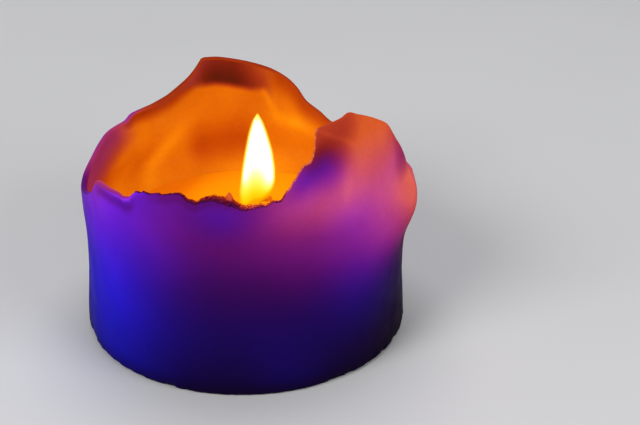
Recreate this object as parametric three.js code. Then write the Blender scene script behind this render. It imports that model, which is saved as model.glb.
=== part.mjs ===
// Melted pillar candle: a round pillar of poured wax that has burnt down its middle. The outside
// wall is left standing as a thin, translucent, melted and torn shell round a deep well.
//
// Units are millimetres, +Z is up. The origin is the centre of the base, on the candle's axis.
// Angles are in degrees round the axis: 0 is the front (-Y), 90 the right (+X), 180 the back.

import * as THREE from "three";

// Body
const BODY_RADIUS = 40.3;
const BASE_FILLET = 1.2;
const WAIST_INSET = 0.7;
const WAIST_HEIGHT = 25;

// Burnt-out well and the shell round it
const FLOOR_HEIGHT = 24.5;
const FLOOR_FILLET = 8;
const LEAN_START = 22;
const LIP_THICKNESS = 1.4;
const WALL_THICKNESS = 3.4;
const LIP_CREST = 0.2;

// Wick, and the sheet-steel tab that holds it in the base
const WICK_RADIUS = 1.1;
const WICK_SIDES = 12;
const WICK_STEPS = 26;
const TAB_RADIUS = 10;
const TAB_THICKNESS = 0.5;
const COLLAR_BORE = 1.4;
const COLLAR_WALL = 0.4;
const COLLAR_TOP = 5.5;
const TAB_SIDES = 48;
const GAP = 0.3;

// Columns of facets round the wax, and rows up its two wall faces
const COLUMNS = 88;
const OUTER_ROWS = 9;
const INNER_ROWS = 6;
const BASE_FILLET_ROWS = 3;
const FLOOR_FILLET_ROWS = 4;

// The rim of the shell as [angle, outer radius, height], once round the candle.
const TORN_FRONT = [
  [0, 39.8, 51.9], [5, 39.8, 51.4], [10.5, 39.8, 51.5], [14.5, 39.8, 52.3], [17, 39.7, 54.8],
  [20, 39.5, 56.7], [23.2, 39.3, 59.6], [26.2, 39.1, 60.5],
];
const TEAR = [
  [27.8, 38.8, 62], [28.2, 38.5, 65], [28.8, 38.1, 67.7],
];
const LOBE = [
  [35, 37.3, 67.8], [41, 36.9, 68], [45, 36.6, 68.4], [50, 36.7, 67], [57, 37.1, 64.8],
  [64, 37.5, 62.2], [69, 37.9, 59.6], [73, 38.4, 55.9], [78, 39.4, 50.5], [84, 40.8, 45],
];
const RIGHT_SAG = [
  [92, 41.4, 40.3], [105, 41.5, 38], [125, 41.5, 37.1], [147, 41.5, 37.6],
];
const BACK_PEAK = [
  [153, 41.8, 40], [158.5, 42.3, 42.2], [162, 42.6, 45.4], [166, 43, 47.4], [172, 43.4, 49.2],
  [180, 43.5, 51.1], [187, 43.5, 52.6], [192.5, 43.3, 53.5], [196.5, 43, 53.6], [199, 42.7, 51.4],
  [202, 42.5, 49], [206, 42.2, 47], [212, 41.9, 44.8],
];
const LEFT_BACK = [
  [219, 41.6, 43.7], [227.5, 41.4, 43.4], [231, 41.2, 42.2], [240, 41.1, 41.9],
  [247, 41, 40.5], [256, 41, 38.5], [268, 40.8, 37.9], [280, 40.8, 39], [288, 40.9, 41],
];
const LEFT_LIP = [
  [293, 40.9, 42.4], [298, 41, 44.9], [301.5, 41.2, 47.8], [304.5, 41.2, 50], [311, 40.7, 49.8],
  [317.5, 40.2, 49], [320.5, 40, 49.5], [323.5, 40, 51.2], [329, 39.9, 51.7],
];
const CRUMBLED_FRONT = [
  [334.5, 39.9, 52.6], [339, 39.8, 53.7], [343, 39.8, 52.1], [348, 39.8, 52.6],
  [353, 39.8, 53.7], [357, 39.8, 52.8],
];
const RIM = [
  ...TORN_FRONT, ...TEAR, ...LOBE, ...RIGHT_SAG, ...BACK_PEAK, ...LEFT_BACK, ...LEFT_LIP,
  ...CRUMBLED_FRONT,
];

// Soft swellings where hot wax slumped outwards, each centred at an angle and a height.
const SWELLINGS = [
  { angle: 88, height: 34, amount: 2.8, angleSpread: 20, heightSpread: 5 },
  { angle: 275, height: 34, amount: 0.5, angleSpread: 20, heightSpread: 3.5 },
];

// The wick's centre line: straight up through the wax, then curling over to the right.
const WICK_ROUTE = [
  [0, 0, TAB_THICKNESS + GAP], [0, 0, 12], [0, 0, FLOOR_HEIGHT], [0.4, 0, 28.2],
  [1.9, 0.1, 31], [4, 0.2, 32.5], [6, 0.2, 32.9],
];

function onCircle(angle, radius, height) {
  const turn = THREE.MathUtils.degToRad(angle);
  return new THREE.Vector3(radius * Math.sin(turn), -radius * Math.cos(turn), height);
}

function angleOf(point) {
  const angle = THREE.MathUtils.radToDeg(Math.atan2(point.x, -point.y));
  return THREE.MathUtils.euclideanModulo(angle, 360);
}

function angleBetween(from, to) {
  return THREE.MathUtils.euclideanModulo(to - from + 180, 360) - 180;
}

function bell(distance, spread) {
  return Math.exp(-0.5 * (distance / spread) ** 2);
}

// One column per equal step along the rim, so the steep tear gets its share of facets.
function makeColumns() {
  const stations = RIM.map(([angle, radius, height]) => onCircle(angle, radius, height));
  const rimCurve = new THREE.CatmullRomCurve3(stations, true, "centripetal");
  const rimPoints = rimCurve.getSpacedPoints(COLUMNS);
  const columns = [];
  for (let i = 0; i < COLUMNS; i += 1) {
    const point = rimPoints[i];
    columns.push({
      evenAngle: (360 * i) / COLUMNS,
      rimAngle: angleOf(point),
      rimRadius: Math.hypot(point.x, point.y),
      rimHeight: point.z,
    });
  }
  return columns;
}

// Columns stand evenly round the base and drift to their place on the rim higher up.
function columnAngle(column, climb) {
  const drift = angleBetween(column.evenAngle, column.rimAngle);
  return column.evenAngle + drift * THREE.MathUtils.smoothstep(climb, 0, 1);
}

function outerRadius(column, angle, height) {
  const waist = WAIST_INSET * THREE.MathUtils.smoothstep(height, BASE_FILLET, WAIST_HEIGHT);
  const body = BODY_RADIUS - waist;
  const climb = Math.max(0, (height - LEAN_START) / (column.rimHeight - LEAN_START));
  let radius = body + (column.rimRadius - body) * climb ** 2;
  for (const swelling of SWELLINGS) {
    const round = bell(angleBetween(swelling.angle, angle), swelling.angleSpread);
    radius += swelling.amount * round * bell(height - swelling.height, swelling.heightSpread);
  }
  return radius;
}

function wallThickness(column, height) {
  const filletTop = FLOOR_HEIGHT + FLOOR_FILLET;
  const depth = THREE.MathUtils.smoothstep(column.rimHeight - height, 0, column.rimHeight - filletTop);
  return LIP_THICKNESS + (WALL_THICKNESS - LIP_THICKNESS) * depth;
}

// Wick hole, hole for the tab's collar and pocket for the tab: the same on every column.
function coreRows(column) {
  const collarHole = COLLAR_BORE + COLLAR_WALL + GAP;
  const steps = [
    [WICK_RADIUS + GAP, FLOOR_HEIGHT],
    [WICK_RADIUS + GAP, COLLAR_TOP + GAP],
    [collarHole, COLLAR_TOP + GAP],
    [collarHole, TAB_THICKNESS + GAP],
    [TAB_RADIUS + GAP, TAB_THICKNESS + GAP],
    [TAB_RADIUS + GAP, 0],
  ];
  return steps.map(([radius, height]) => onCircle(column.evenAngle, radius, height));
}

function outerRows(column) {
  const rows = [];
  for (let i = 0; i <= BASE_FILLET_ROWS; i += 1) {
    const turn = (0.5 * Math.PI * i) / BASE_FILLET_ROWS;
    const radius = BODY_RADIUS - BASE_FILLET * (1 - Math.sin(turn));
    rows.push(onCircle(column.evenAngle, radius, BASE_FILLET * (1 - Math.cos(turn))));
  }
  const top = column.rimHeight - LIP_CREST;
  for (let i = 1; i <= OUTER_ROWS; i += 1) {
    const climb = i / OUTER_ROWS;
    const height = THREE.MathUtils.lerp(BASE_FILLET, top, climb);
    const angle = columnAngle(column, climb);
    rows.push(onCircle(angle, outerRadius(column, angle, height), height));
  }
  return rows;
}

function innerRows(column) {
  const rows = [];
  const top = column.rimHeight - LIP_CREST;
  const filletTop = FLOOR_HEIGHT + FLOOR_FILLET;
  const innerPoint = (height, inset, drop) => {
    const climb = (height - drop - FLOOR_HEIGHT) / (top - FLOOR_HEIGHT);
    const angle = columnAngle(column, climb);
    const radius = outerRadius(column, angle, height) - wallThickness(column, height);
    return onCircle(angle, radius - inset, height - drop);
  };
  for (let i = 0; i <= INNER_ROWS; i += 1) {
    rows.push(innerPoint(THREE.MathUtils.lerp(top, filletTop, i / INNER_ROWS), 0, 0));
  }
  for (let i = 1; i <= FLOOR_FILLET_ROWS; i += 1) {
    const turn = (0.5 * Math.PI * i) / FLOOR_FILLET_ROWS;
    const inset = FLOOR_FILLET * (1 - Math.cos(turn));
    rows.push(innerPoint(filletTop, inset, FLOOR_FILLET * Math.sin(turn)));
  }
  return rows;
}

function crestPoint(column) {
  const radius = column.rimRadius - LIP_THICKNESS / 2;
  return onCircle(column.rimAngle, radius, column.rimHeight);
}

// A ring of closed section loops, joined into one closed skin.
function skinLoops(loops) {
  const positions = loops.flat().flatMap((point) => [point.x, point.y, point.z]);
  const rowCount = loops[0].length;
  const index = [];
  for (let i = 0; i < loops.length; i += 1) {
    const next = (i + 1) % loops.length;
    for (let j = 0; j < rowCount; j += 1) {
      const up = (j + 1) % rowCount;
      const [a, b] = [i * rowCount + j, next * rowCount + j];
      const [c, d] = [next * rowCount + up, i * rowCount + up];
      const straight = loops[i][j].distanceTo(loops[next][up]);
      if (straight <= loops[next][j].distanceTo(loops[i][up])) {
        index.push(a, b, c, a, c, d);
      } else {
        index.push(a, b, d, b, c, d);
      }
    }
  }
  const geometry = new THREE.BufferGeometry();
  geometry.setAttribute("position", new THREE.Float32BufferAttribute(positions, 3));
  geometry.setIndex(index);
  geometry.computeVertexNormals();
  return geometry;
}

function waxBodyGeometry() {
  const loops = makeColumns().map((column) => [
    ...coreRows(column), ...outerRows(column), crestPoint(column), ...innerRows(column),
  ]);
  return skinLoops(loops);
}

function wickGeometry() {
  const section = new THREE.Shape();
  section.absarc(0, 0, WICK_RADIUS, 0, 2 * Math.PI, false);
  const route = new THREE.CatmullRomCurve3(
    WICK_ROUTE.map((point) => new THREE.Vector3(...point)), false, "centripetal",
  );
  return new THREE.ExtrudeGeometry(section, {
    steps: WICK_STEPS, curveSegments: WICK_SIDES / 2, bevelEnabled: false, extrudePath: route,
  });
}

// A pressed cup: a flat disc with a collar round the wick.
function wickTabGeometry() {
  const collarOutside = COLLAR_BORE + COLLAR_WALL;
  const profile = [
    [0, 0], [TAB_RADIUS, 0], [TAB_RADIUS, TAB_THICKNESS], [collarOutside, TAB_THICKNESS],
    [collarOutside, COLLAR_TOP], [COLLAR_BORE, COLLAR_TOP], [COLLAR_BORE, TAB_THICKNESS],
    [0, TAB_THICKNESS],
  ];
  const points = profile.map(([radius, height]) => new THREE.Vector2(radius, height));
  const geometry = new THREE.LatheGeometry(points, TAB_SIDES);
  geometry.rotateX(Math.PI / 2);
  return geometry;
}

function namedMesh(name, geometry, colour, roughness, metalness) {
  const material = new THREE.MeshStandardMaterial({ color: colour, roughness, metalness });
  const mesh = new THREE.Mesh(geometry, material);
  mesh.name = name;
  return mesh;
}

const candle = new THREE.Group();
candle.add(namedMesh("wax_body", waxBodyGeometry(), 0x4a28b4, 0.5, 0));
candle.add(namedMesh("wick", wickGeometry(), 0x2b211c, 0.9, 0));
candle.add(namedMesh("wick_tab", wickTabGeometry(), 0xb9bcc0, 0.35, 1));

export default candle;
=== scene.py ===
"""Looks of a melted pillar candle: a thin, torn shell of violet wax lit from inside by its flame,
its glow and a violet side light painted in.

Shapes are worked out in millimetres and turned into metres when a mesh is made. Angles are in
degrees round the candle's axis: 0 is the front (-Y), 90 the right (+X) and 180 the back.
"""

import itertools
import math

import bpy
import numpy as np
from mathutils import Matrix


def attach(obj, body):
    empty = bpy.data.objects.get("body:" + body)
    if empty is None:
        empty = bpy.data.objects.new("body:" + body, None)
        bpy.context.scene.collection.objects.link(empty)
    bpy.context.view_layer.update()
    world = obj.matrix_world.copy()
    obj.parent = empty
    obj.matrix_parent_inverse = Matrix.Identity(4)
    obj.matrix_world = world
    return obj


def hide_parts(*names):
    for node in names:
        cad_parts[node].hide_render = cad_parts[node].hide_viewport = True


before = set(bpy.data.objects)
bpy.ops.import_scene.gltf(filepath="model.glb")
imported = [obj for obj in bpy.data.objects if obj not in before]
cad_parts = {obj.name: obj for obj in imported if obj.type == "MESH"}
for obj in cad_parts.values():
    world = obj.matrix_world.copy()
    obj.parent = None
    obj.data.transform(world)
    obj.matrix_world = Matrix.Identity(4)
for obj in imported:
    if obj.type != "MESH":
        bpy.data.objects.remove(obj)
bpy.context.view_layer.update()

MM = 0.001
SEED = 41

# Camera
CAMERA_PLACE = (0.0189, -0.4444, 0.2645)
CAMERA_PITCH = 62.06
CAMERA_LENS = 112.5
SENSOR_WIDTH = 36.0

# Soft lights, as name, place and size in metres, and power in watts, and the height on the
# candle's axis that they are turned to
SOFT_LIGHTS = [
    ("key", (-0.5, -0.55, 0.6), 0.5, 5.0),
    ("fill", (0.6, -0.45, 0.4), 0.6, 3.1),
    ("top", (0.0, 0.3, 0.9), 0.7, 3.8),
]
AIM_HEIGHT = 0.03

# The flame's own light, in metres and watts
FLAME_PLACE = (0.0037, 0, 0.041)
FLAME_POWER = 0.05
FLAME_COLOUR = (1.0, 0.42, 0.06)
FLAME_LIGHT_RADIUS = 0.003

# Even light from all round, and half the width of the floor in millimetres
SKY_COLOUR = (0.78, 0.79, 0.82, 1)
SKY_STRENGTH = 0.18
FLOOR_REACH = 3000

# Body of the candle, as in the CAD model
BODY_RADIUS = 40.3
BASE_FILLET = 1.2
WAIST_INSET = 0.7
WAIST_HEIGHT = 25.0
FLOOR_HEIGHT = 24.5
FLOOR_FILLET = 8.0
FILLET_TOP = FLOOR_HEIGHT + FLOOR_FILLET
LEAN_START = 22.0
WALL_THICKNESS = 3.4
BORE_RADIUS = 1.4
BORE_END = 5.8
COLLAR_HOLE_RADIUS = 2.1
POCKET_RADIUS = 10.3
POCKET_DEPTH = 0.8

# Grid of the wax: columns round the candle, rows round its section
COLUMNS = 620
BASE_ROWS = 6
OUTER_ROWS = 66
LIP_ROWS = 13
INNER_ROWS = 46
FILLET_ROWS = 9
FLOOR_ROWS = 8

# Height of the rim once round, as [angle, height]
RIM_HEIGHT = [
    # crumbled front edge, then the tear up to the lobe
    [2.4, 51.4], [7.1, 51.65], [10.3, 51.7], [12.1, 52.2], [14.5, 52.3], [16.2, 54.1],
    [18.6, 55.8], [19.9, 56.5], [21.7, 58.6], [23, 59.6], [24.5, 60], [26, 60.9],
    [27.6, 62.2], [28, 64.5], [28.4, 67.5],
    # lobe
    [31, 67.7], [35, 67.8], [41, 68], [45, 68.4], [50, 67], [57, 64.8], [64, 62.2],
    [69, 60], [73, 56.5], [78, 51.2], [84, 45.5],
    # sagged right side
    [92, 40.3], [105, 38], [125, 37.1], [147, 37.6],
    # peak at the back
    [153, 40], [158.5, 42.2], [162, 45.5], [166, 47.9], [172, 50], [180, 51.7],
    [187, 52.8], [192.5, 53.5], [196.5, 53.6], [199, 51.4], [202, 49], [206, 47],
    [212, 44.8],
    # left side
    [219, 43.7], [227.5, 43.4], [231, 42.2], [240, 41.9], [247, 40.5], [256, 38.5],
    [268, 37.9], [280, 39], [288, 41], [293, 42.4], [298, 44.9], [301.5, 47.8],
    # rolled lip, then the crumbled front edge again
    [305.5, 50], [310, 49.8], [315.4, 49.5], [317.5, 49], [320.2, 49.4], [321.8, 50.4],
    [323, 51.1], [324.8, 51.5], [328.5, 51.6], [331, 52], [334, 52.4], [336, 52.9],
    [338.9, 53.6], [341.5, 53.1], [343.1, 52.1], [345.5, 52], [349, 52.8], [353, 53.7],
    [355, 53.4], [356.8, 52.8], [359.6, 51.9],
]

# Outer radius of the rim once round, as [angle, radius]
RIM_RADIUS = [
    [0, 39.8], [14.5, 39.8], [20, 39.5], [26, 39.1], [28.2, 38.5], [30, 37.8], [35, 37.3],
    [41, 36.9], [45, 36.6], [50, 36.7], [57, 37.1], [64, 37.5], [69, 37.9], [73, 38.4],
    [78, 39.8], [84, 40.4], [92, 40.6], [105, 41], [125, 41.5], [153, 41.8], [162, 42.6],
    [172, 43.4], [187, 43.5], [196.5, 43.3], [206, 42.7], [219, 42.1], [240, 41.6],
    [268, 40.6], [288, 40.3], [301.5, 40.9], [304.5, 41.1], [311, 40.7], [317.5, 40.2],
    [320.5, 40], [329, 39.9], [343, 39.8],
]

# Soft swellings of the wall, and dents where the amount is below 0, as angle, height, amount,
# spread in angle and spread in height
SWELLINGS = [
    (88, 34, 3.1, 20, 4.4),
    (88, 24, 0.4, 22, 5),
    (262, 34, 0.4, 18, 3.5),
    (33, 60, -1.0, 3.5, 5),
    (58, 57, -0.6, 5, 6),
]

# Thickness of the rim once round, as [angle, thickness]
RIM_THICKNESS = [
    [0, 1.6], [12, 1.0], [28, 0.8], [60, 1.4], [90, 1.8], [150, 1.4], [200, 1.3], [240, 1.4],
    [270, 1.5], [298, 1.5], [308, 1.2], [320, 0.8], [334, 0.8], [350, 1.5],
]

# Knee of the shell at the back, above which it folds outwards: where it starts and ends, and
# its height as [angle, height]
KNEE_START = 150
KNEE_END = 214
KNEE_HEIGHT = [
    [140, 35], [155, 35.5], [163, 37.5], [169, 41], [174, 45.5], [178, 45.2], [183, 45.9],
    [195, 47.3], [205, 46.2], [214, 43.5], [225, 42],
]

# Arcs of the torn and melted edge, as start, end and softness in degrees
TORN_EDGE = (322, 29.5, 1.2)
CROWDED_EDGE = (300, 32, 4)
LOW_TEAR = (13, 27, 2)
TORN_FRONT = (2, 13, 2.5)
TORN_SLOPE = (16, 31, 2)
# arc of painted shade under the crumbled front edge
FRONT_EDGE_SHADE_ARC = (330, 358, 4)
ROLLED_LIP = (303, 322, 2)
KNEE = (KNEE_START, KNEE_END, 6)

# Arcs that are painted differently, in the same form
LOBE = (15, 90, 5)
BACK_SKIN = (105, 275, 30)
BACK_RIM = (105, 262, 8)
BACK_RIGHT_RIM = (125, 178, 6)
DIM_RIM = (176, 222, 8)
# the lip at the back, painted darker as shade, darkest on the second arc
SHADED_BACK_RIM = (130, 238, 8)
DARKEST_BACK_RIM = (130, 222, 8)
LEFT_RIM = (236, 298, 6)
# the melted lip on the left, painted with less violet light as shade
SHADED_LEFT_RIM = (236, 290, 8)
BACK_RIGHT_WELL = (130, 173, 5)
BACK_WELL = (168, 205, 8)
# a painted shadow on the inside wall at the back
WELL_SHADOW_ARC = (178, 205, 5)
FOLDED_WELL = (172, KNEE_END + 4, 3)
BACK_LEFT_WELL = (196, 236, 8)
LEFT_WELL = (232, 298, 9)

# Where the tear is steepest, and the radius at which its crumbs are read off the noise
STEEP_ANGLE = 28.2
CRUMB_RADIUS = 40

# The torn face: how far its edges lie below the rim, and where it is broadest
TORN_DROP = 0.12
BROAD_FACE_ANGLE = 356

# A notch in the far rim, where the skin's painted violet light shows and the painted glow is less
NOTCH_ANGLE = 229

# A flake that stands up behind the crumbled edge
FLAKE_ANGLE = 357.3
FLAKE_SPREAD = 0.8
FLAKE_HEIGHT = 1.8

# Flame outline, as height, middle in X and half width
FLAME = [
    (26, 0.2, 0), (28.5, 0.5, 1.3), (31, 1.1, 2.4), (32.4, 1.7, 3.0), (34, 2.5, 3.9),
    (35.2, 2.85, 4.2), (36.3, 3.15, 4.3), (38, 3.45, 4.35), (41.3, 3.65, 4.15),
    (45.8, 3.75, 3.5), (50.7, 3.6, 2.4), (52.9, 3.57, 1.75), (54.5, 3.5, 1.2), (56.4, 3.6, 0),
]

# The flame's mesh: its rings, their sides, the radius at its ends, and its depth to its width
FLAME_STEPS = 90
FLAME_SIDES = 48
FLAME_POINT = 0.03
FLAME_FLATNESS = 0.92

# Centre line of the wick
WICK_ROUTE = [
    (0, 0, 0.8), (0, 0, 12), (0, 0, 24.5), (0.4, 0, 28.2), (1.9, 0.1, 31), (4, 0.2, 32.4),
    (6.9, 0.2, 32.7),
]
WICK_RADIUS = 0.95
WICK_STEPS = 260
WICK_SIDES = 30

# Strands of the braid, and how far they turn from end to end, in radians
WICK_STRANDS = 3
WICK_TWIST = 34

# Molten wax: its depth, how far it lies above the floor and runs into the wall, and the
# columns of its mesh
POOL_DEPTH = 0.5
POOL_LIFT = 0.05
POOL_OVERLAP = 0.4
POOL_SIDES = 240

# The strongest light through the wax, as on the thin flake
BRIGHTEST_GLOW = 0.68


# ---------------------------------------------------------------- numbers and noise

def smoothstep(low, high, value):
    """0 below low, 1 above high, and a smooth rise between them."""
    share = np.clip((value - low) / (high - low), 0, 1)
    return share * share * (3 - 2 * share)


def turn_between(start, end):
    """Signed angle from start to end, between -180 and 180 degrees."""
    return np.mod(end - start + 180, 360) - 180


def bell(distance, spread):
    """1 at no distance, fading out evenly on both sides."""
    return np.exp(-0.5 * (distance / spread) ** 2)


def arc_window(angle, start, end, soft):
    """1 between two angles, going round from start to end, and fading out over soft."""
    half = np.mod(end - start, 360) / 2
    away = np.abs(turn_between(start + half, angle))
    return 1 - smoothstep(half - soft, half + soft, away)


def ring_curve(stations, angle):
    """Monotone cubic through [angle, value] stations, joined up once round."""
    around = np.array(stations, float)
    around = around[np.argsort(around[:, 0])]
    before = around[-2:] - [360, 0]
    after = around[:2] + [360, 0]
    at, value = np.vstack([before, around, after]).T
    width = np.diff(at)
    slope = np.diff(value) / width
    product = slope[:-1] * slope[1:]
    total = slope[:-1] + slope[1:]
    safe = np.where(product > 0, total, 1)
    tangent = np.zeros(len(at))
    tangent[1:-1] = np.where(product > 0, 2 * product / safe, 0)
    angle = np.mod(angle, 360)
    k = np.searchsorted(at, angle, side="right") - 1
    t = (angle - at[k]) / width[k]
    start = (1 + 2 * t) * (1 - t) ** 2 * value[k] + t * (1 - t) ** 2 * width[k] * tangent[k]
    end = t * t * (3 - 2 * t) * value[k + 1] - t * t * (1 - t) * width[k] * tangent[k + 1]
    return start + end


def sum_of_patches(stations, angle, height):
    """Sum of soft patches, each from a station of a list such as VIOLET_LIGHT_PATCHES."""
    total = 0
    for at, level, amount, turn_spread, rise_spread, climb in stations:
        turn = turn_between(at, angle)
        rise = height - level - climb * turn
        total = total + amount * bell(turn, turn_spread) * bell(rise, rise_spread)
    return total


NOISE_SIZE = 64
NOISE_TABLE = np.random.default_rng(SEED).uniform(-1, 1, (NOISE_SIZE,) * 3)


def noise(points, cell, shift=0.0):
    """Smooth noise from -1 to 1, with features about one cell wide, in millimetres."""
    scaled = points / cell + shift
    corner = np.floor(scaled).astype(int)
    share = scaled - corner
    share = share * share * (3 - 2 * share)
    total = np.zeros(points.shape[:-1])
    for offset in itertools.product((0, 1), repeat=3):
        place = (corner + offset) % NOISE_SIZE
        weight = np.prod(np.where(offset, share, 1 - share), axis=-1)
        total += weight * NOISE_TABLE[place[..., 0], place[..., 1], place[..., 2]]
    return total


# ---------------------------------------------------------------- objects and meshes

def place_object(name, data, place=(0, 0, 0)):
    """Puts a mesh, a light or a camera into the scene."""
    made = bpy.data.objects.new(name, data)
    made.location = place
    bpy.context.scene.collection.objects.link(made)
    return made


def new_object(name, points, faces, material):
    """A smooth-shaded mesh object, from points in millimetres."""
    mesh = bpy.data.meshes.new(name)
    mesh.from_pydata((np.asarray(points) * MM).tolist(), [], faces)
    mesh.validate()
    mesh.shade_smooth()
    mesh.materials.append(material)
    return place_object(name, mesh)


def grid_faces(columns, rows, close_rows):
    """Quads over a grid of points that closes round its columns, and round its rows if asked."""
    faces = []
    for i in range(columns):
        following = (i + 1) % columns
        for j in range(rows if close_rows else rows - 1):
            above = (j + 1) % rows
            faces.append((
                i * rows + j, following * rows + j, following * rows + above, i * rows + above,
            ))
    return faces


def tube(rings, name, material):
    """A closed body lofted through rings of points, with a point at either end."""
    count, sides = rings.shape[:2]
    points = rings.transpose(1, 0, 2).reshape(-1, 3)
    faces = grid_faces(sides, count, False)
    low = len(points)
    high = low + 1
    points = np.vstack([points, rings[0].mean(axis=0), rings[-1].mean(axis=0)])
    for i in range(sides):
        following = (i + 1) % sides
        faces.append((low, following * count, i * count))
        faces.append((high, i * count + count - 1, following * count + count - 1))
    return new_object(name, points, faces, material)


def add_attribute(made, name, values):
    """Stores one number a point, for the material to read."""
    attribute = made.data.attributes.new(name, "FLOAT", "POINT")
    attribute.data.foreach_set("value", np.asarray(values, np.float32).ravel())


# ---------------------------------------------------------------- materials

# The range that most of a noise node's values lie in
NOISE_RANGE = (0.3, 0.7)


class Paint:
    """A material's node tree, with one short call for each kind of node."""

    def __init__(self, name):
        self.material = bpy.data.materials.new(name)
        self.material.use_nodes = True
        self.tree = self.material.node_tree
        self.shader = self.tree.nodes["Principled BSDF"]
        self.output = self.tree.nodes["Material Output"]

    def add(self, kind, inputs=None, **settings):
        """New node with its settings, and with a link or a fixed value on each named input."""
        made = self.tree.nodes.new(kind)
        for key, value in settings.items():
            setattr(made, key, value)
        for key, value in (inputs or {}).items():
            self.set(made, key, value)
        return made

    def set(self, node, key, value):
        """Links an output to a node's input, or gives the input a fixed value."""
        socket = node.inputs[key]
        if isinstance(value, bpy.types.NodeSocket):
            self.tree.links.new(value, socket)
        else:
            socket.default_value = value

    def math(self, operation, first, second):
        """Sum, product or the like of two numbers."""
        made = self.add("ShaderNodeMath", {0: first, 1: second}, operation=operation)
        return made.outputs[0]

    def attribute(self, name):
        """A number painted on the mesh."""
        return self.add("ShaderNodeAttribute", attribute_name=name).outputs["Fac"]

    def noise(self, scale, detail, squeeze=(1, 1, 1)):
        """Noise with features about 1 / scale metres wide, squeezed by a factor on each axis."""
        place = self.add("ShaderNodeTexCoord").outputs["Object"]
        mapped = self.add("ShaderNodeMapping", {"Vector": place, "Scale": squeeze})
        inputs = {"Vector": mapped.outputs[0], "Scale": scale, "Detail": detail}
        return self.add("ShaderNodeTexNoise", inputs).outputs["Fac"]

    def height(self):
        """Height above the base, in metres."""
        place = self.add("ShaderNodeTexCoord").outputs["Object"]
        return self.add("ShaderNodeSeparateXYZ", {0: place}).outputs["Z"]

    def reach(self, middle, stretch):
        """Distance in plan from a point, as (X, Y, 0), with each axis stretched by its factor."""
        place = self.add("ShaderNodeTexCoord").outputs["Object"]
        away = self.add("ShaderNodeVectorMath", {0: place, 1: middle}, operation="SUBTRACT")
        inputs = {0: away.outputs[0], 1: stretch}
        flat = self.add("ShaderNodeVectorMath", inputs, operation="MULTIPLY")
        length = self.add("ShaderNodeVectorMath", {0: flat.outputs[0]}, operation="LENGTH")
        return length.outputs["Value"]

    def spread(self, value, low, high, to_low=0.0, to_high=1.0):
        """Moves a value from the range low to high over to the range to_low to to_high."""
        inputs = {"Value": value, "From Min": low, "From Max": high}
        inputs.update({"To Min": to_low, "To Max": to_high})
        made = self.add("ShaderNodeMapRange", inputs, clamp=True)
        return made.outputs["Result"]

    def vary(self, tone, low, high):
        """Turns a noise into a value that varies from low to high."""
        return self.spread(tone, *NOISE_RANGE, low, high)

    def ramp(self, value, stops):
        """Colour read off a list of (place, colour) stops."""
        made = self.add("ShaderNodeValToRGB", {"Fac": value})
        elements = made.color_ramp.elements
        elements[0].position = stops[0][0]
        elements[1].position = stops[-1][0]
        for place, _ in stops[1:-1]:
            elements.new(place)
        for element, (_, colour) in zip(elements, stops):
            element.color = (*colour, 1)
        return made.outputs["Color"]

    def mix(self, share, first, second):
        """The number that lies a share of the way from first to second."""
        inputs = {0: share, 2: first, 3: second}
        return self.add("ShaderNodeMix", inputs, data_type="FLOAT").outputs[0]

    def mix_colours(self, share, first, second):
        """The colour that lies a share of the way from first to second."""
        inputs = {0: share, 6: first, 7: second}
        return self.add("ShaderNodeMix", inputs, data_type="RGBA").outputs[2]

    def bump(self, height, distance, normal=None):
        """Bumps of a height in millimetres, over the ones that normal already has."""
        inputs = {"Height": height, "Distance": distance * MM}
        if normal is not None:
            inputs["Normal"] = normal
        return self.add("ShaderNodeBump", inputs).outputs["Normal"]

    def finish(self, **values):
        """Sets the shader's inputs, with _ for each space in a name, and returns the material."""
        for key, value in values.items():
            self.set(self.shader, key.replace("_", " "), value)
        return self.material

    def see_through(self, share):
        """Lets a fixed share of what is behind show through."""
        clear = self.add("ShaderNodeBsdfTransparent").outputs[0]
        inputs = {"Fac": share, 1: self.shader.outputs[0], 2: clear}
        mixed = self.add("ShaderNodeMixShader", inputs)
        self.set(self.output, "Surface", mixed.outputs[0])
        return self.material


# Colours, as lists of (place, linear colour) stops
# the skin's violet, from near black where it is painted in shade to full violet where painted
# violet light falls
SKIN_SHADE_TO_VIOLET_LIGHT = [(0.0, (0.003, 0.0015, 0.003)), (1.0, (0.012, 0.013, 1.0))]
WAX_WELL = [(0.85, (0.10, 0.015, 0.0005)), (1.0, (0.13, 0.02, 0.0005))]
POOL_WAX = [(0.3, (0.14, 0.03, 0.001)), (0.7, (0.18, 0.04, 0.0015))]
POOL_LIGHT = [
    (0.0, (0.92, 0.28, 0)),
    (0.35, (0.86, 0.248, 0)),
    (0.55, (0.76, 0.20, 0)),
    (0.82, (0.62, 0.124, 0)),
    (1.0, (0.56, 0.10, 0)),
]
COTTON = [(0.3, (0.42, 0.30, 0.16)), (0.7, (0.66, 0.52, 0.33))]
CHAR = [(0.3, (0.003, 0.002, 0.001)), (0.7, (0.014, 0.008, 0.004))]
EMBER_LIGHT = [(0.0, (0.0, 0.0, 0.0)), (0.35, (0.34, 0.05, 0.0)), (1.0, (0.84, 0.15, 0.0))]
STEEL = [(0.25, (0.34, 0.31, 0.27)), (0.55, (0.58, 0.57, 0.55)), (0.8, (0.66, 0.66, 0.65))]
EDGE_GAS = [(0.0, (0.95, 0.38, 0)), (1.0, (0.97, 0.50, 0))]
MANTLE_GAS = [
    (0.0, (0.72, 0.23, 0.0)),
    (0.1, (0.72, 0.38, 0.001)),
    (0.3, (0.72, 0.54, 0.01)),
    (0.58, (0.80, 0.74, 0.10)),
    (0.8, (0.90, 0.96, 0.27)),
]
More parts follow.
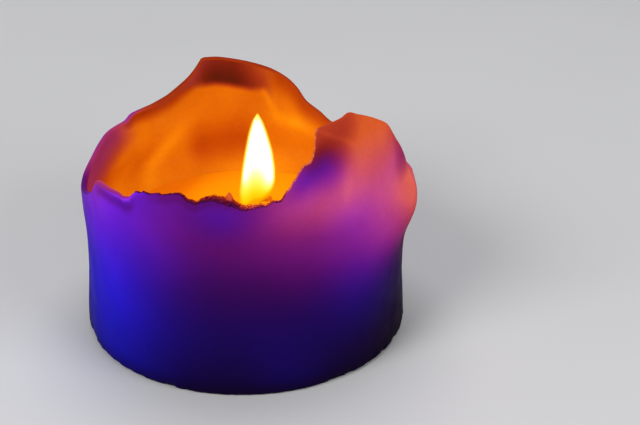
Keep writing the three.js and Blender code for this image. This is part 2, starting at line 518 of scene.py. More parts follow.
CORE_GAS = [
    (0.0, (0.46, 0.14, 0.0)),
    (0.09, (0.50, 0.29, 0.001)),
    (0.3, (0.50, 0.41, 0.008)),
    (0.42, (0.52, 0.48, 0.04)),
    (0.57, (0.54, 0.53, 0.12)),
    (0.75, (0.56, 0.56, 0.35)),
    (0.9, (0.8, 0.8, 0.75)),
    (1.0, (1, 1, 1)),
]
FLOOR_PAINT = [(0.3, (0.60, 0.60, 0.61)), (0.7, (0.63, 0.63, 0.64))]

# Light through the wax: green is this share of its red squared, and blue this share of its red,
# first outside and then inside the well
GREEN_SHARE = (0.21, 0.38)
BLUE_SHARE = (0.02, 0.002)

# Where the light on the molten wax is brightest, in millimetres, how it is stretched in plan,
# and the distances that its colours lie between
POOL_MIDDLE = (3.5, 0, 0)
POOL_STRETCH = (1, 0.65, 0)
POOL_NEAR = 15
POOL_FAR = 26

# Heights between which the wick goes from cotton to char
CHAR_START = 22
CHAR_END = 27


def glow_colour(paint, glow, inside):
    """Light that comes through the wax: red, with more yellow in it the stronger it is."""
    yellow = paint.spread(inside, 0, 1, *GREEN_SHARE)
    green = paint.math("MULTIPLY", paint.math("MULTIPLY", glow, glow), yellow)
    blue = paint.math("MULTIPLY", glow, paint.spread(inside, 0, 1, *BLUE_SHARE))
    inputs = {"Red": glow, "Green": green, "Blue": blue}
    return paint.add("ShaderNodeCombineColor", inputs).outputs[0]


def wax_material():
    """Violet skin outside, with painted violet light and shade, and orange wax inside, both lit
    through by the painted glow.
    """
    paint = Paint("wax")
    inside = paint.attribute("inside")
    torn = paint.attribute("torn")
    cloud = paint.vary(paint.noise(70, 2), 0.93, 1.07)
    grain = paint.vary(paint.noise(900, 3), 0.975, 1.025)
    mottle = paint.math("MULTIPLY", cloud, grain)
    crumb = paint.spread(paint.noise(2200, 2), 0.35, 0.65, 0.3, 1.9)
    speckle = paint.mix(torn, 1.0, crumb)
    glow = paint.math("MULTIPLY", paint.attribute("glow"), mottle)
    glow = paint.math("MULTIPLY", glow, speckle)
    # painted violet light and shade on the skin
    violet = paint.math("MULTIPLY", paint.attribute("violet"), mottle)
    skin = paint.ramp(violet, SKIN_SHADE_TO_VIOLET_LIGHT)
    well = paint.ramp(mottle, WAX_WELL)
    fine = paint.bump(paint.noise(1500, 2), 0.008)
    return paint.finish(
        Base_Color=paint.mix_colours(inside, skin, well),
        Emission_Color=glow_colour(paint, glow, inside),
        Emission_Strength=1.0,
        Roughness=paint.vary(paint.noise(180, 3), 0.42, 0.56),
        Specular_IOR_Level=0.015,
        Normal=paint.bump(paint.noise(260, 2), 0.05, fine),
    )


def pool_material():
    """Molten wax: glossy, and brightest round the flame."""
    paint = Paint("molten_wax")
    tone = paint.noise(120, 2)
    drift = paint.vary(tone, -0.06, 0.06)
    reach = paint.reach([MM * value for value in POOL_MIDDLE], POOL_STRETCH)
    away = paint.math("ADD", paint.spread(reach, POOL_NEAR * MM, POOL_FAR * MM), drift)
    return paint.finish(
        Base_Color=paint.ramp(tone, POOL_WAX),
        Emission_Color=paint.ramp(away, POOL_LIGHT),
        Emission_Strength=1.0,
        Roughness=paint.vary(tone, 0.14, 0.22),
        Specular_IOR_Level=0.08,
        Normal=paint.bump(paint.noise(90, 1), 0.03),
    )


def wick_material():
    """Cotton in the wax, char above it, and an ember at the painted end."""
    paint = Paint("charred_cotton")
    burnt = paint.spread(paint.height(), CHAR_START * MM, CHAR_END * MM)
    fibre = paint.noise(2600, 3, (1, 1, 0.35))
    cotton = paint.ramp(fibre, COTTON)
    char = paint.ramp(fibre, CHAR)
    heat = paint.math("MULTIPLY", paint.attribute("ember"), paint.vary(fibre, 0.7, 1.2))
    return paint.finish(
        Base_Color=paint.mix_colours(burnt, cotton, char),
        Emission_Color=paint.ramp(heat, EMBER_LIGHT),
        Emission_Strength=1.0,
        Roughness=paint.vary(fibre, 0.8, 0.95),
        Specular_IOR_Level=0.05,
        Normal=paint.bump(fibre, 0.08),
    )


def steel_material():
    """Tinned sheet steel, dulled in patches."""
    paint = Paint("tinned_steel")
    stain = paint.noise(220, 4)
    return paint.finish(
        Base_Color=paint.ramp(stain, STEEL),
        Metallic=1.0,
        Roughness=paint.vary(stain, 0.5, 0.3),
        Normal=paint.bump(paint.noise(700, 2, (1, 6, 1)), 0.02),
    )


def flame_material(name, gas, strength, clear):
    """Glowing gas, coloured by its heat, with a share of the background seen through or None."""
    paint = Paint(name)
    drift = paint.vary(paint.noise(160, 1, (1, 1, 0.4)), -0.02, 0.02)
    heat = paint.math("ADD", paint.attribute("warmth"), drift)
    made = paint.finish(
        Base_Color=(0, 0, 0, 1),
        Emission_Color=paint.ramp(heat, gas),
        Emission_Strength=strength,
        Roughness=1.0,
        Specular_IOR_Level=0.0,
    )
    return made if clear is None else paint.see_through(clear)


def floor_material():
    """Plain pale paint, very slightly uneven."""
    paint = Paint("floor")
    return paint.finish(Base_Color=paint.ramp(paint.noise(6, 2), FLOOR_PAINT), Roughness=0.85)


# ---------------------------------------------------------------- wax

def torn_share(angle):
    """1 along the crumbled front edge and up the tear, 0 where the rim melted round."""
    return arc_window(angle, *TORN_EDGE)


def make_angles():
    """Columns crowd together along the crumbled edge, and most at the steep tear."""
    fine = np.arange(0, 360, 0.05)
    steep = bell(turn_between(STEEP_ANGLE, fine), 0.7)
    density = 1 + 2.4 * arc_window(fine, *CROWDED_EDGE) + 12 * steep
    walked = np.concatenate([[0], np.cumsum(density)])
    share = np.linspace(0, walked[-1], COLUMNS, endpoint=False)
    return np.interp(share, walked, np.append(fine, 360))


def crumbs(angle):
    """Small teeth of the crumbled edge, as a height to add to the rim."""
    turn = np.radians(angle)
    circle = np.stack([np.sin(turn), -np.cos(turn), np.zeros_like(turn)], axis=-1)
    place = CRUMB_RADIUS * circle
    teeth = 0.3 * noise(place, 1.1) + 0.16 * noise(place, 0.55, 7.3)
    steep = bell(turn_between(STEEP_ANGLE, angle), 1)
    strength = 1 + 1.1 * arc_window(angle, *LOW_TEAR) - 0.6 * steep
    share = np.maximum(torn_share(angle), 0.3 * arc_window(angle, *ROLLED_LIP))
    return share * strength * teeth


def outer_radius(angle, height, rim_height, rim_radius):
    """The outside wall: a slight waist, then a lean out or in to the rim, and its swellings."""
    body = BODY_RADIUS - WAIST_INSET * smoothstep(BASE_FILLET, WAIST_HEIGHT, height)
    climb = np.clip((height - LEAN_START) / (rim_height - LEAN_START), 0, 1.05)
    flare = 2 + 4 * arc_window(angle, KNEE_START + 10, KNEE_END, 8)
    radius = body + (rim_radius - body) * climb ** flare
    depth = rim_height - height
    roll = 0.45 * bell(depth - 0.5, 0.6) - 0.25 * bell(depth - 2.1, 0.6)
    radius = radius + roll * arc_window(angle, *ROLLED_LIP)
    for at, level, amount, turn_spread, rise_spread in SWELLINGS:
        shape = bell(turn_between(at, angle), turn_spread) * bell(height - level, rise_spread)
        radius = radius + amount * shape
    return radius


class Section:
    """The wax cut through at every column. Each method gives some rows, as radius and height."""

    def __init__(self, angle):
        self.turn = angle[:, None]
        self.rim_height = (ring_curve(RIM_HEIGHT, angle) + crumbs(angle))[:, None]
        self.rim_radius = ring_curve(RIM_RADIUS, angle)[:, None]
        self.torn = torn_share(angle)[:, None]
        self.thickness = ring_curve(RIM_THICKNESS, self.turn)
        broad_face = bell(turn_between(BROAD_FACE_ANGLE, self.turn), 8)
        face_drop = (TORN_DROP + 1.3 * broad_face) * self.torn
        flake = FLAKE_HEIGHT * bell(turn_between(FLAKE_ANGLE, self.turn), FLAKE_SPREAD)
        rounding = 0.5 * (1 - self.torn) * self.thickness
        self.outer_edge = self.rim_height - face_drop - rounding
        self.inner_edge = self.rim_height + flake - TORN_DROP * self.torn - rounding

    def base(self):
        """The rounded foot."""
        quarter = np.linspace(0, math.pi / 2, BASE_ROWS)[None, :]
        radius = BODY_RADIUS - BASE_FILLET + BASE_FILLET * np.sin(quarter) + 0 * self.turn
        height = BASE_FILLET - BASE_FILLET * np.cos(quarter) + 0 * self.turn
        return radius, height

    def wall(self):
        """The outside wall, with its rows closer together towards the rim."""
        share = np.linspace(0, 1, OUTER_ROWS + 1)[None, 1:]
        height = BASE_FILLET + (self.outer_edge - BASE_FILLET) * (1 - (1 - share) ** 1.35)
        return outer_radius(self.turn, height, self.rim_height, self.rim_radius), height

    def lip(self, outer):
        """The rim: rounded where it melted, and a sloping face where it tore."""
        across = np.linspace(0, 1, LIP_ROWS + 2)[None, 1:-1]
        over = (1 - np.cos(math.pi * across)) / 2
        arch = (self.thickness / 2) * (1 - self.torn) + 0.1 * self.torn
        height = self.outer_edge + (self.inner_edge - self.outer_edge) * over
        return outer - self.thickness * over, height + arch * np.sin(math.pi * across)

    def well(self):
        """The inside wall, which thickens downwards and has a knee where it folds at the back."""
        share = np.linspace(0, 1, INNER_ROWS)[None, :]
        height = self.inner_edge + (FILLET_TOP - self.inner_edge) * share ** 1.1
        below_edge = np.minimum(height, self.outer_edge)
        radius = outer_radius(self.turn, below_edge, self.rim_height, self.rim_radius)
        deep = smoothstep(0, 1, (self.rim_height - height) / (self.rim_height - FILLET_TOP))
        radius = radius - (self.thickness + (WALL_THICKNESS - self.thickness) * deep)
        knee = bell(height - ring_curve(KNEE_HEIGHT, self.turn), 0.9)
        return radius - 0.5 * knee * arc_window(self.turn, *KNEE), height

    def fillet(self, wall):
        """The rounded foot of the well."""
        quarter = np.linspace(0, math.pi / 2, FILLET_ROWS + 1)[None, 1:]
        height = FILLET_TOP - FLOOR_FILLET * np.sin(quarter) + 0 * self.turn
        return wall - FLOOR_FILLET * (1 - np.cos(quarter)), height

    def floor(self, foot):
        """The flat floor of the well, in to the wick."""
        share = np.linspace(0, 1, FLOOR_ROWS + 1)[None, 1:] ** 0.8
        radius = foot + (BORE_RADIUS - foot) * share
        return radius, FLOOR_HEIGHT + 0 * radius

    def under(self):
        """Down round the wick, round the tab's collar and out to the tab's pocket."""
        corners = [
            (BORE_RADIUS, BORE_END), (COLLAR_HOLE_RADIUS, BORE_END),
            (COLLAR_HOLE_RADIUS, POCKET_DEPTH), (POCKET_RADIUS, POCKET_DEPTH), (POCKET_RADIUS, 0),
        ]
        radius = np.array([[radius for radius, _ in corners]]) + 0 * self.turn
        height = np.array([[height for _, height in corners]]) + 0 * self.turn
        return radius, height

    def rows(self):
        """Radius and height of every grid point, columns by rows, once round the section."""
        wall = self.wall()
        lip = self.lip(wall[0][:, -1:])
        well = self.well()
        fillet = self.fillet(well[0][:, -1:])
        floor = self.floor(fillet[0][:, -1:])
        parts = [self.base(), wall, lip, well, fillet, floor, self.under()]
        return [np.hstack(values) for values in zip(*parts)]


def ring_points(angle, radius, height):
    """Points in millimetres, from angles by column and radii and heights by column and row."""
    turn = np.radians(angle)[:, None]
    return np.stack([radius * np.sin(turn), -radius * np.cos(turn), height], axis=-1)


def row_weights(rows):
    """1 for the rows outside, on the lip and in the well, and each row's share across the lip."""
    row = np.arange(rows)
    lip_start = BASE_ROWS + OUTER_ROWS
    well_start = lip_start + LIP_ROWS
    well_end = well_start + INNER_ROWS + FILLET_ROWS + FLOOR_ROWS
    lip = ((row >= lip_start) & (row < well_start)).astype(float)
    well = ((row >= well_start) & (row < well_end)).astype(float)
    outside = (row < lip_start).astype(float)
    across = np.clip((row - lip_start + 1) / (LIP_ROWS + 1), 0, 1)
    return outside[None, :], lip[None, :], well[None, :], across[None, :]


def roughen(angle, radius, height, torn, weights):
    """Adds what melting and tearing left on the surface: lumps, ripples and broken grain."""
    outside, lip, well, _ = weights
    points = ring_points(angle, radius, height)

    # slow lumps of poured wax, on all but the foot and the floor of the well
    lumps = 0.26 * noise(points, 15) + 0.08 * noise(points, 4.5, 3.1) + 0.02 * noise(points, 1.2)
    above_base = smoothstep(0, 4, height)
    radius = radius + (outside + lip + well * smoothstep(27, 34, height)) * above_base * lumps

    # chips round the foot
    chips = smoothstep(0.15, 0.6, noise(points, 3.1, 8.6)) + 0.4 * noise(points, 1.1, 6.2)
    radius = radius - 0.4 * outside * chips * (1 - smoothstep(0.6, 2.4, height))

    # flat ripples that the molten wax left as it sank
    flat = points * [1, 1, 2.2]
    ripples = 0.45 * noise(flat, 11, 5.5) + 0.16 * noise(flat, 4.2, 1.7)
    below_rim = well * smoothstep(0, 5, height.max(axis=1, keepdims=True) - height)
    radius = radius - below_rim * smoothstep(28, 36, height) * np.abs(ripples)

    # broken grain of the torn face
    grain = 0.36 * noise(points, 0.9, 2.2) + 0.24 * noise(points, 0.45, 9.4)
    radius = radius + lip * torn * grain
    height = height + lip * torn * 0.9 * grain
    return radius, height


# Patches of painted violet light and shade, of painted glow and shade through the wall and of
# painted glow and shade on the inside wall, as angle, height, amount, spread in angle, spread in
# height, and how much they climb in millimetres a degree
VIOLET_LIGHT_PATCHES = [
    (354, 48.5, 0.10, 7, 3.5, 0),
    (330, 38, 0.06, 9, 6, 0),
    (26, 55, 0.14, 7, 4, 0.3),
    (37, 54, 0.08, 5, 3, 0),
    (22, 57.5, 0.10, 2.5, 1.8, 0),
    (25, 39, 0.04, 12, 4, 0),
    (17, 6, 0.035, 9, 6, 0),
    (45, 43, 0.17, 9, 4.5, 0),
    (48, 30, 0.18, 12, 8, 0),
    (64, 38, 0.10, 10, 8, 0),
    (69, 50, 0.12, 6, 4, 0),
    (52, 47.5, -0.035, 9, 4, 0),
    (66, 10, -0.025, 14, 8, 0),
    (41, 44, 0.03, 5, 3, 0),
]
GLOW_PATCHES = [
    (31.5, 58.3, -1.5, 6.5, 3.5, 0),
    (22, 55.5, -0.5, 3.5, 2.2, 0.4),
    (36.5, 64.4, 0.22, 5, 0.35, -0.39),
    (42, 66, -0.4, 5, 3.5, 0),
    (56, 60, 0.2, 12, 6, 0),
    (50, 46.5, -0.17, 8, 4.5, 0),
    (76, 51.5, -0.1, 5, 4, 0),
    (58, 27, 0.4, 10, 6, 0),
    (354, 47.5, -0.5, 7, 4, 0),
    (41, 50.5, 0.16, 2.2, 2.6, 0),
    (43.5, 61.6, 0.14, 2, 0.6, -0.5),
    (82, 46, -0.12, 8, 3.5, 0),
    (84, 37, 0.08, 8, 3.5, 0),
]
WELL_PATCHES = [
    (220, 31, 0.14, 10, 1.8, -0.44),
    (231, 30.8, -0.08, 7, 1.2, -0.3),
    (240, 34.8, 0.12, 9, 1.1, -0.15),
    (171.5, 42.5, 0.15, 2.5, 1.5, 1.0),
    (160, 37, 0.22, 8, 1.5, 0.15),
    (172, 25.5, 0.12, 14, 3, 0),
    (215, 29, -0.055, 9, 4.5, 0),
]

# How the glow through the wall changes once round, all over and near the rim, as [angle, power]
GLOW_ROUND = [
    [0, 0], [20, 0.4], [40, 0.85], [60, 1.45], [70, 1.75], [80, 2.05], [86, 2.0], [93, 1.6],
    [120, 1.2], [180, 0.8], [240, 0.5], [280, 0.1], [300, 0.25], [320, -0.1], [340, -0.1],
]
GLOW_NEAR_RIM = [
    [0, 0.1], [20, 0.7], [40, 0.65], [60, 0], [70, -0.4], [80, -1.3], [90, -1.5], [120, 0],
    [240, 0], [300, 0.4], [320, 0],
]


def violet_light_field(angle, height):
    """Painted violet light on the skin: brightest on the left, where it falls, with painted shade
    low down and on the right, and none on the top of the lobe.
    """
    # painted violet light: bright on the left and behind, a little all over that grows with
    # height, and patches of painted light and shade
    left = bell(turn_between(304, angle), 17) * (0.28 + 0.38 * smoothstep(-6, 30, height))
    behind = 0.30 * arc_window(angle, *BACK_SKIN) * smoothstep(-10, 30, height)
    plain = 0.03 + 0.05 * smoothstep(2, 18, height) + 0.04 * smoothstep(26, 38, height)
    plain = plain + 0.06 * smoothstep(38, 50, height)
    total = left + behind + plain + sum_of_patches(VIOLET_LIGHT_PATCHES, angle, height)
    # painted shade on the sagged right side, away from the violet light, and none above a line
    # that falls across the lobe
    total = total * (1 - 0.5 * bell(turn_between(86, angle), 11))
    past = np.clip(turn_between(33, angle), 0, 30)
    fade_at = 59.3 - 0.22 * past
    soft = 3.5 + 0.25 * past
    lobe_top = arc_window(angle, *LOBE) * smoothstep(fade_at - soft, fade_at + soft, height)
    total = total * (1 - 0.97 * lobe_top)
    # painted shade towards the foot
    return total * (0.4 + 0.6 * smoothstep(0, 5, height))


def glow_field(angle, height):
    """Strength of the light that comes through the outside wall, worked out as a power of e."""
    power = -6.3 + 0.8 * smoothstep(0, 8, height) + 3.5 * smoothstep(5, 46, height)
    power = power + ring_curve(GLOW_ROUND, angle) * smoothstep(16, 36, height)
    power = power + ring_curve(GLOW_NEAR_RIM, angle) * smoothstep(38, 50, height)
    glow = np.exp(power + sum_of_patches(GLOW_PATCHES, angle, height))
    return np.minimum(glow, BRIGHTEST_GLOW)


def well_field(angle, height, depth):
    """Strength of the light on the inside wall: strong low down, weak above the fold."""
    # brighter low down at the back, and a painted shadow in a patch above that
    glow = 0.575 + sum_of_patches(WELL_PATCHES, angle, height)
    glow = glow - 0.24 * arc_window(angle, *WELL_SHADOW_ARC) * bell(height - 31.5, 4.2)
    low = 1 - smoothstep(24.5, 30, height)
    glow = glow + (0.035 + 0.075 * arc_window(angle, *BACK_WELL)) * low
    # less light near the rim
    left = 0.38 * left_rim(angle, depth, 1.5, 13)
    behind = 0.4 * arc_window(angle, *BACK_LEFT_WELL) * (1 - smoothstep(0.8, 4.2, depth))
    glow = glow - np.maximum(left, behind)
    glow = glow - 0.32 * arc_window(angle, *BACK_RIGHT_WELL) * (1 - smoothstep(0.5, 6, depth))
    # the fold is darkest between 187 and 192 degrees
    fold = 0.02 + 0.14 * bell(depth, 2.2)
    fold = fold + 0.3 * smoothstep(0, 16, turn_between(angle, 187))
    fold = fold + 0.15 * smoothstep(0, 12, turn_between(192, angle))
    return glow + (fold - glow) * folded(angle, height)


def folded(angle, height):
    """1 on the inside wall above the fold at the back, where the flame lights it less."""
    above = smoothstep(-1, 1.2, height - ring_curve(KNEE_HEIGHT, angle))
    return above * arc_window(angle, *FOLDED_WELL)


def left_rim(angle, depth, near, far):
    """The band below the rim on the left, where the thin wall takes painted violet light and less
    painted glow.
    """
    return arc_window(angle, *LEFT_WELL) * (1 - smoothstep(near, far, depth))


class Zones:
    """Where every point of the wax lies, and how far it belongs to each zone, from 0 to 1."""

    def __init__(self, section, height, weights):
        self.outside, self.lip, self.well, self.across = weights
        self.turn = section.turn + 0 * height
        self.height = height
        self.depth = section.rim_height - height
        self.rolled = arc_window(self.turn, *ROLLED_LIP)
        self.slope = arc_window(self.turn, *TORN_SLOPE)
        self.back = arc_window(self.turn, *BACK_RIM)
        self.notch = bell(turn_between(NOTCH_ANGLE, self.turn), 4)
        # the band of painted violet light below the rim on the left
        self.violet_light_band = left_rim(self.turn, self.depth, 0.5, 8.5)
        self.inner_line = bell(self.across - 0.9, 0.1)
        self.melted_lip = self.lip * (1 - section.torn)
        edge = self.inner_line * self.lip
        self.torn_line = section.torn * edge
        self.torn_face = self.lip * section.torn * (1 - edge)
        standing = smoothstep(-0.3, 0.3, -self.depth)
        self.flake = bell(turn_between(FLAKE_ANGLE, self.turn), 1.2) * standing


def outside_light(zones):
    """Painted glow and painted violet light of the outside wall, with painted shade on and under
    the rolled lip, a painted highlight in the groove below its top, and painted shade under the
    front edge.
    """
    turn, depth, rolled = zones.turn, zones.depth, zones.rolled
    # a painted highlight along the groove of the rolled lip, at this depth below the rim
    crease_depth = 1.2 - 0.09 * turn_between(315, turn)
    crease_highlight = bell(depth - crease_depth, 0.35) * bell(turn_between(317.5, turn), 4.5)
    # painted shade under the rolled lip
    shade = rolled * bell(depth - 3.0, 1.0)
    # painted shade at the left corner of the rolled lip
    corner = bell(turn_between(305, turn), 4) * bell(depth - 1.2, 1.6)
    # painted shade under the crumbled front edge
    under_edge_shade = arc_window(turn, *FRONT_EDGE_SHADE_ARC) * (1 - smoothstep(1.6, 3.4, depth))

    glow = glow_field(turn, zones.height)
    # painted glow on the top of the rolled lip and along its groove, dimmed by the painted shade
    glow = glow + 0.10 * rolled * bell(depth - 0.2, 0.6) + 0.10 * crease_highlight
    glow = glow * (1 - 0.25 * shade) * (1 - 0.15 * under_edge_shade)

    violet = violet_light_field(turn, zones.height)
    # less violet light painted on the lip's top, painted shade under it and at its corner, and
    # the painted highlight added
    violet = violet * (1 - 0.45 * rolled * bell(depth - 0.3, 0.5)) * (1 - 0.5 * shade)
    violet = violet * (1 - 0.35 * corner) + 0.7 * crease_highlight
    return glow, violet * (1 - 0.3 * under_edge_shade)


def melted_lip_glow(zones, outer_glow, inner_glow):
    """Glow across the melted lip, from the outside wall's to the inside wall's."""
    turn = zones.turn
    back_glow = 0.48 - 0.26 * arc_window(turn, *DIM_RIM) - 0.2 * zones.notch
    back_glow = back_glow - 0.2 * arc_window(turn, *BACK_RIGHT_RIM)
    glow = outer_glow + (inner_glow - outer_glow) * zones.across
    glow = glow + (back_glow - glow) * zones.back
    glow = glow - 0.1 * zones.rolled * zones.inner_line
    return glow * (1 - 0.3 * arc_window(turn, *LEFT_RIM))


def torn_face_glow(zones):
    """Painted glow across the torn face, which is left dark at its outer edge as painted shade.
    """
    across = zones.across
    front = arc_window(zones.turn, *TORN_FRONT)
    glow = 0.04 + 0.33 * across ** 2 * (1 + 2 * front) + 0.25 * across * front
    return glow + 0.45 * zones.slope


def all_glow(zones, outer_glow):
    """Strength of the light that comes through the wax, at every point."""
    inner_glow = well_field(zones.turn, zones.height, zones.depth)
    lip_glow = melted_lip_glow(zones, outer_glow, inner_glow)
    glow = zones.outside * outer_glow + zones.well * inner_glow + zones.melted_lip * lip_glow
    glow = glow + zones.torn_line * 0.6 + zones.torn_face * torn_face_glow(zones)
    return glow + (BRIGHTEST_GLOW - glow) * zones.flake * (zones.lip + zones.well)


def all_violet_light(zones, skin):
    """How much painted violet light every point takes, from the skin's painted violet light and
    shade.
    """
    turn, across = zones.turn, zones.across
    # painted shade on the lip at the back, lifted in the notch, and less violet light towards the
    # lip's inner edge
    rim_shade = 0.8 * arc_window(turn, *SHADED_BACK_RIM) + 0.17 * arc_window(turn, *DARKEST_BACK_RIM)
    lip_share = (1 - rim_shade * (1 - zones.notch)) * (1 - 0.5 * across)
    violet = zones.outside * skin + zones.melted_lip * lip_share * skin
    # painted shade: half the violet light on the melted lip on the left and on the rolled lip
    left = np.maximum(zones.rolled, arc_window(turn, *SHADED_LEFT_RIM))
    violet = violet * (1 - 0.5 * left * zones.melted_lip)
    # the torn face's outer edge takes some of the skin's painted violet light and shade, and the
    # slope a little violet
    violet = violet + zones.torn_face * (0.4 * (1 - across) ** 2.5 * skin + 0.1 * zones.slope)
    # painted violet light on the band below the rim on the left, and a little near the rim at the
    # back on the left
    violet = violet + 0.28 * zones.violet_light_band * zones.well
    back_left = arc_window(turn, *BACK_LEFT_WELL) * (1 - smoothstep(0, 4, zones.depth))
    violet = violet + 0.03 * zones.well * back_left
    return violet * (1 - 0.9 * zones.flake)


def all_inside(zones):
    """How far the surface takes the orange colours of the well, and not those of the skin."""
    turned_in = np.maximum(smoothstep(0.4, 1, zones.across), 0.7 * zones.back * (1 - zones.notch))
    # less of the well's orange in the band of painted violet light on the left
    inside = zones.well * (1 - 0.5 * zones.violet_light_band) + zones.melted_lip * turned_in * (1 - zones.violet_light_band)
    inside = inside + zones.torn_line
    # painted shade above the fold at the back, where the colour turns darker
    inside = inside * (1 - 0.6 * zones.well * folded(zones.turn, zones.height))
    inside = (inside + 0.6 * zones.torn_face * zones.slope) * (1 - 0.9 * zones.flake)
    return np.clip(inside, 0, 1)


def paint_wax(wax, zones):
    """Gives the wax the four fields that its material reads."""
    outer_glow, skin = outside_light(zones)
    crumbly = zones.torn_face * (1 - 0.6 * zones.slope) * (1 - zones.flake)
    add_attribute(wax, "glow", all_glow(zones, outer_glow))
    add_attribute(wax, "violet", all_violet_light(zones, skin))
    add_attribute(wax, "inside", all_inside(zones))
    add_attribute(wax, "torn", crumbly)


def make_wax():
    """The whole candle body as one closed mesh, a torus of columns and rows."""
    angle = make_angles()
    section = Section(angle)
    radius, height = section.rows()
    rows = radius.shape[1]
    weights = row_weights(rows)
    radius, height = roughen(angle, radius, height, section.torn, weights)
    points = ring_points(angle, radius, height).reshape(-1, 3)
    wax = new_object("wax_shell", points, grid_faces(COLUMNS, rows, True), wax_material())
    paint_wax(wax, Zones(section, height, weights))
    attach(wax, "root")
    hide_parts("wax_body")


# ---------------------------------------------------------------- pool, wick, tab and flame

def make_pool():
    """A thin lens of molten wax that fills the foot of the well up to its rounded side."""
    angle = np.linspace(0, 360, POOL_SIDES, endpoint=False)
    rim_height = ring_curve(RIM_HEIGHT, angle)
    wall = outer_radius(angle, FILLET_TOP, rim_height, ring_curve(RIM_RADIUS, angle))
    foot = wall - WALL_THICKNESS - FLOOR_FILLET
    to_fillet = math.sqrt(FLOOR_FILLET ** 2 - (FLOOR_FILLET - POOL_DEPTH) ** 2)
    reach = foot + to_fillet + POOL_OVERLAP
    top = FLOOR_HEIGHT + POOL_DEPTH
    low = FLOOR_HEIGHT + POOL_LIFT
    # up beside the wick, out over the surface, round the rim and back underneath, as share of
    # the reach, distance to add and height
    profile = [
        (0, 1.25, low), (0, 1.25, top + 0.25), (0, 1.7, top + 0.08), (0, 3, top),
        (0, 15, top), (1, -2, top), (1, -0.6, top + 0.02), (1, 0, top + 0.05),
        (1, -1.6, low + 0.12), (1, -3.2, low), (0, 12, low),
    ]
    share, offset, height = np.array(profile).T
    radius = share * reach[:, None] + offset
    points = ring_points(angle, radius, height + 0 * radius).reshape(-1, 3)
    faces = [face[::-1] for face in grid_faces(POOL_SIDES, len(profile), True)]
    pool = new_object("melt_pool", points, faces, pool_material())
    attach(pool, "root")


def route_points(stations, steps):
    """Evenly spaced points on a smooth curve through the stations."""
    known = np.array(stations, float)
    span = np.concatenate([[0], np.cumsum(np.linalg.norm(np.diff(known, axis=0), axis=1))])
    ends = np.vstack([2 * known[0] - known[1], known, 2 * known[-1] - known[-2]])
    at = np.linspace(0, span[-1], steps)
    k = np.clip(np.searchsorted(span, at, side="right") - 1, 0, len(known) - 2)
    t = ((at - span[k]) / (span[k + 1] - span[k]))[:, None]
    before, start, end, after = ends[k], ends[k + 1], ends[k + 2], ends[k + 3]
    return 0.5 * (
        2 * start + (end - before) * t + (2 * before - 5 * start + 4 * end - after) * t ** 2
        + (3 * start - 3 * end + after - before) * t ** 3
    )


def make_wick():
    """A braided cotton wick, charred and shrunk towards its tip."""
    line = route_points(WICK_ROUTE, WICK_STEPS)
    along = np.gradient(line, axis=0)
    along /= np.linalg.norm(along, axis=1, keepdims=True)
    side = np.cross([0, 1, 0], along)
    side /= np.linalg.norm(side, axis=1, keepdims=True)
    other = np.cross(along, side)
    travel = np.linspace(0, 1, WICK_STEPS)[:, None]
    turn = np.linspace(0, 2 * math.pi, WICK_SIDES, endpoint=False)[None, :]

    # twisted strands, thinner where they are burnt, and drawn in round the end
    strands = np.abs(np.cos(WICK_STRANDS / 2 * (turn - WICK_TWIST * travel)))
    radius = WICK_RADIUS * (0.86 + 0.16 * strands)
    radius = radius * (1 - 0.22 * smoothstep(0.7, 0.95, travel))
    rounded_end = 1 - smoothstep(0.975, 1.01, travel) ** 2
    radius = radius * np.sqrt(np.clip(rounded_end, 0.05, 1))
    rings = (
        line[:, None, :]
        + side[:, None, :] * (radius * np.cos(turn))[..., None]
        + other[:, None, :] * (radius * np.sin(turn))[..., None]
    )
    rings = rings + 0.05 * noise(rings, 0.8)[..., None]

    wick = tube(rings, "braided_wick", wick_material())
    ember = np.repeat(smoothstep(0.86, 1, travel)[None, :, 0], WICK_SIDES, axis=0)
    add_attribute(wick, "ember", np.append(ember, [0, 1]))
    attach(wick, "root")
    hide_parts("wick")


def make_tab():
    """The CAD's own tab keeps its shape, and takes the steel material."""
    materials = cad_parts["wick_tab"].data.materials
    materials.clear()
    materials.append(steel_material())


def flame_rings(shrink, low, high):
    """Rings of a teardrop inside the flame's outline, shrunk by a distance in millimetres."""
    heights, middles, halves = np.array(FLAME).T
    share = (1 - np.cos(np.linspace(0, math.pi, FLAME_STEPS))) / 2
    level = low + (high - low) * share
    full = smooth_curve(level, heights, halves)
    half = np.maximum(full - shrink * smoothstep(0, 1.6, full), FLAME_POINT)
    half[[0, -1]] = FLAME_POINT
    middle = smooth_curve(level, heights, middles)
    turn = np.linspace(0, 2 * math.pi, FLAME_SIDES, endpoint=False)
    x = middle[:, None] + half[:, None] * np.sin(turn)
    y = -FLAME_FLATNESS * half[:, None] * np.cos(turn)
    return np.stack([x, y, np.broadcast_to(level[:, None], x.shape)], axis=-1)


def flame_heat(points):
    """Heat, up to 1: a cooler dome low in the middle, and coolest beside the wick's end."""
    x, _, height = np.moveaxis(points, -1, 0)
    dome = np.minimum(0.5 * (x - 3.2) ** 2, 4) * smoothstep(34, 39.5, height)
    left_foot = (1 - smoothstep(-0.4, 3.0, x)) * (1 - smoothstep(34, 37.5, height))
    beside_wick = smoothstep(4.2, 7, x) * (1 - smoothstep(34.5, 37, height))
    tip = smoothstep(53.6, 56.2, height)
    rise = height + (dome + 2.6 * left_foot) - 1.8 * beside_wick - 33.9
    return np.clip(rise / 10, 0, 1) - 0.5 * tip


def smooth_curve(place, places, values):
    """Values read off a line through stations, with its corners rounded off."""
    near = [np.interp(place + shift, places, values) for shift in (-0.9, -0.45, 0, 0.45, 0.9)]
    return np.average(near, axis=0, weights=[1, 2, 3, 2, 1])


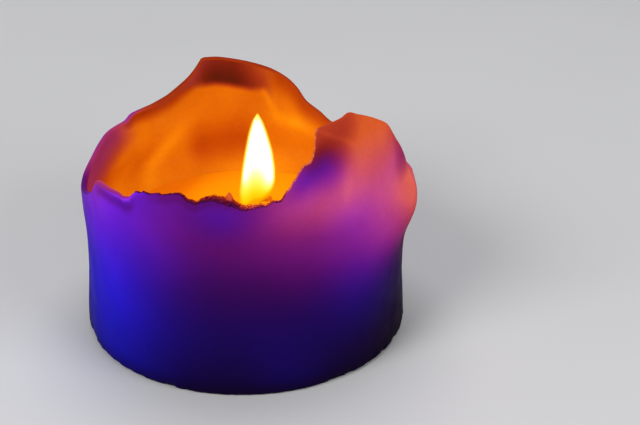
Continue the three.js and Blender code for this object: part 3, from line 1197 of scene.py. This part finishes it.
# Layers of the flame from the outside in, as name, gas, strength and share seen through, and
# how far each is shrunk, its lowest point and its highest
FLAME_LAYERS = [
    ("flame_edge", EDGE_GAS, 1.05, 0.7, -0.12, 27, 56.4),
    ("flame_mantle", MANTLE_GAS, 1.6, 0.6, 0.18, 27.5, 56.0),
    ("flame_core", CORE_GAS, 2.4, None, 0.62, 28, 55.7),
]


def make_flame():
    """A white-hot body over a yellow dome, inside two thin veils of yellow gas."""
    for name, gas, strength, clear, shrink, low, high in FLAME_LAYERS:
        material = flame_material(name, gas, strength, clear)
        flame_piece(name, flame_rings(shrink, low, high), material)


def flame_piece(name, rings, material):
    """One layer of the flame, which casts no shadow and throws no light of its own."""
    piece = tube(rings, name, material)
    heat = flame_heat(rings).T.ravel()
    add_attribute(piece, "warmth", np.append(heat, [heat.min(), heat.max()]))
    piece.visible_shadow = False
    piece.visible_diffuse = False
    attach(piece, "root")


# ---------------------------------------------------------------- stage

def make_camera():
    """Looks down along +Y from in front of the candle."""
    data = bpy.data.cameras.new("camera")
    data.lens = CAMERA_LENS
    data.sensor_width = SENSOR_WIDTH
    camera = place_object("camera", data, CAMERA_PLACE)
    camera.rotation_euler = (math.radians(CAMERA_PITCH), 0, 0)
    bpy.context.scene.camera = camera


def soft_light(name, place, size, power):
    """A round light, turned towards the middle of the candle."""
    data = bpy.data.lights.new(name, "AREA")
    data.shape = "DISK"
    data.size = size
    data.energy = power
    light = place_object(name, data, place)
    aim = light.location.copy()
    aim.z -= AIM_HEIGHT
    light.rotation_euler = aim.to_track_quat("Z", "Y").to_euler()


def flame_light():
    """The small warm light that the flame throws on the wax round it."""
    data = bpy.data.lights.new("flame_light", "POINT")
    data.energy = FLAME_POWER
    data.color = FLAME_COLOUR
    data.shadow_soft_size = FLAME_LIGHT_RADIUS
    place_object("flame_light", data, FLAME_PLACE)


def make_world():
    """Faint, even light from all round, and colours shown as they are."""
    world = bpy.data.worlds.new("world")
    world.use_nodes = True
    background = world.node_tree.nodes["Background"]
    background.inputs["Color"].default_value = SKY_COLOUR
    background.inputs["Strength"].default_value = SKY_STRENGTH
    bpy.context.scene.world = world
    bpy.context.scene.view_settings.view_transform = "Standard"


def make_floor():
    """A plain floor that reaches past the camera's view."""
    far = FLOOR_REACH
    corners = [(-far, -far, 0), (far, -far, 0), (far, far, 0), (-far, far, 0)]
    floor = new_object("floor", corners, [(0, 1, 2, 3)], floor_material())


make_camera()
make_wax()
make_pool()
make_wick()
make_tab()
make_flame()
for name, place, size, power in SOFT_LIGHTS:
    soft_light(name, place, size, power)
flame_light()
make_world()
make_floor()
